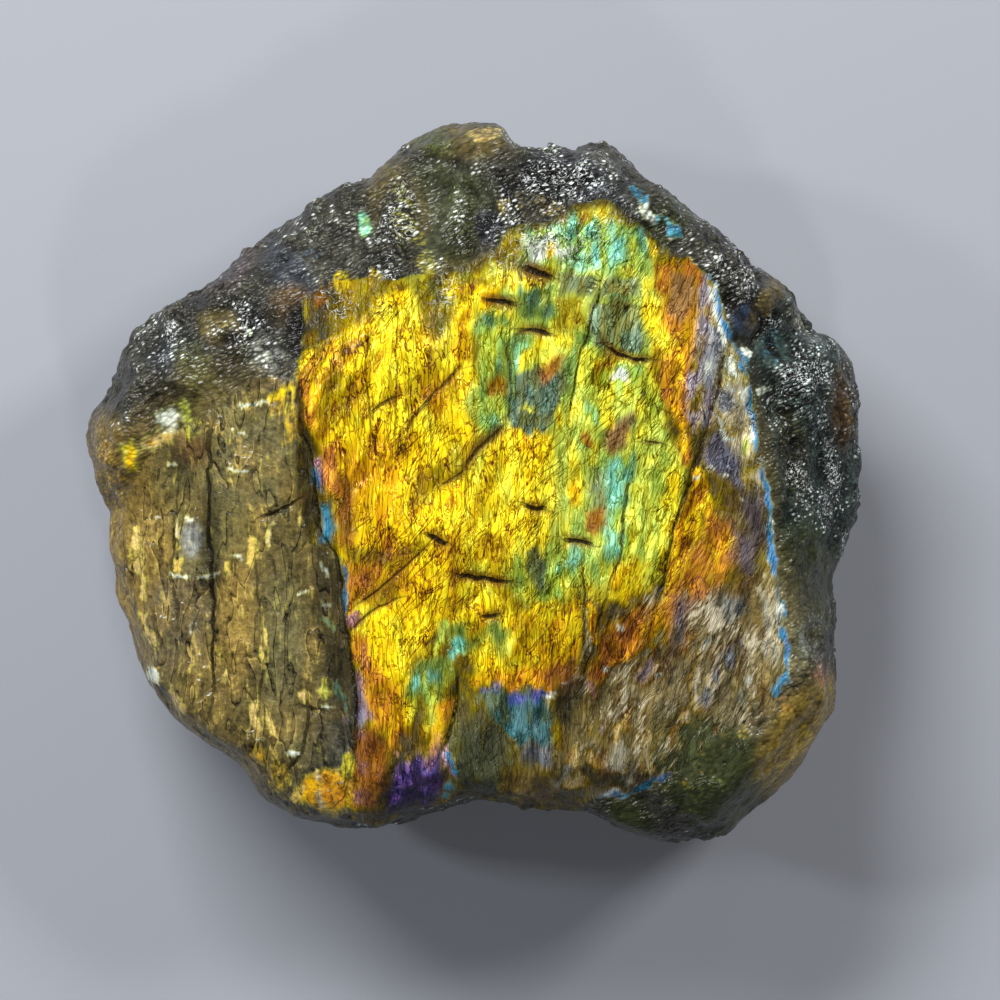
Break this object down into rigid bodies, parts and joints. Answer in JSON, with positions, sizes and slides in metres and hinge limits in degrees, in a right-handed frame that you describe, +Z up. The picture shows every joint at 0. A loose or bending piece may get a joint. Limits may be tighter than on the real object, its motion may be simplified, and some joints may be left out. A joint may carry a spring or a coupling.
{
  "type": "rough labradorite chunk",
  "caption": "Rough broken chunk of labradorite with a flat split face that flashes gold, green and blue, lying on a flat cleavage face.",
  "frame": {"origin": "middle of the bounding box at the resting face on the underside", "axes": "+X along the stone's length, +Y across it, +Z up out of the bright split face"},
  "size_m": [0.053, 0.049, 0.0209],
  "materials": {
    "labradorite": "wet or oiled broken feldspar: a dark olive-grey body, a bright gold, green, orange and blue flash on the split face, and a glittering lumpy rim"
  },
  "bodies": {
    "root": {"labradorite_chunk": "labradorite"}
  },
  "joints": []
}
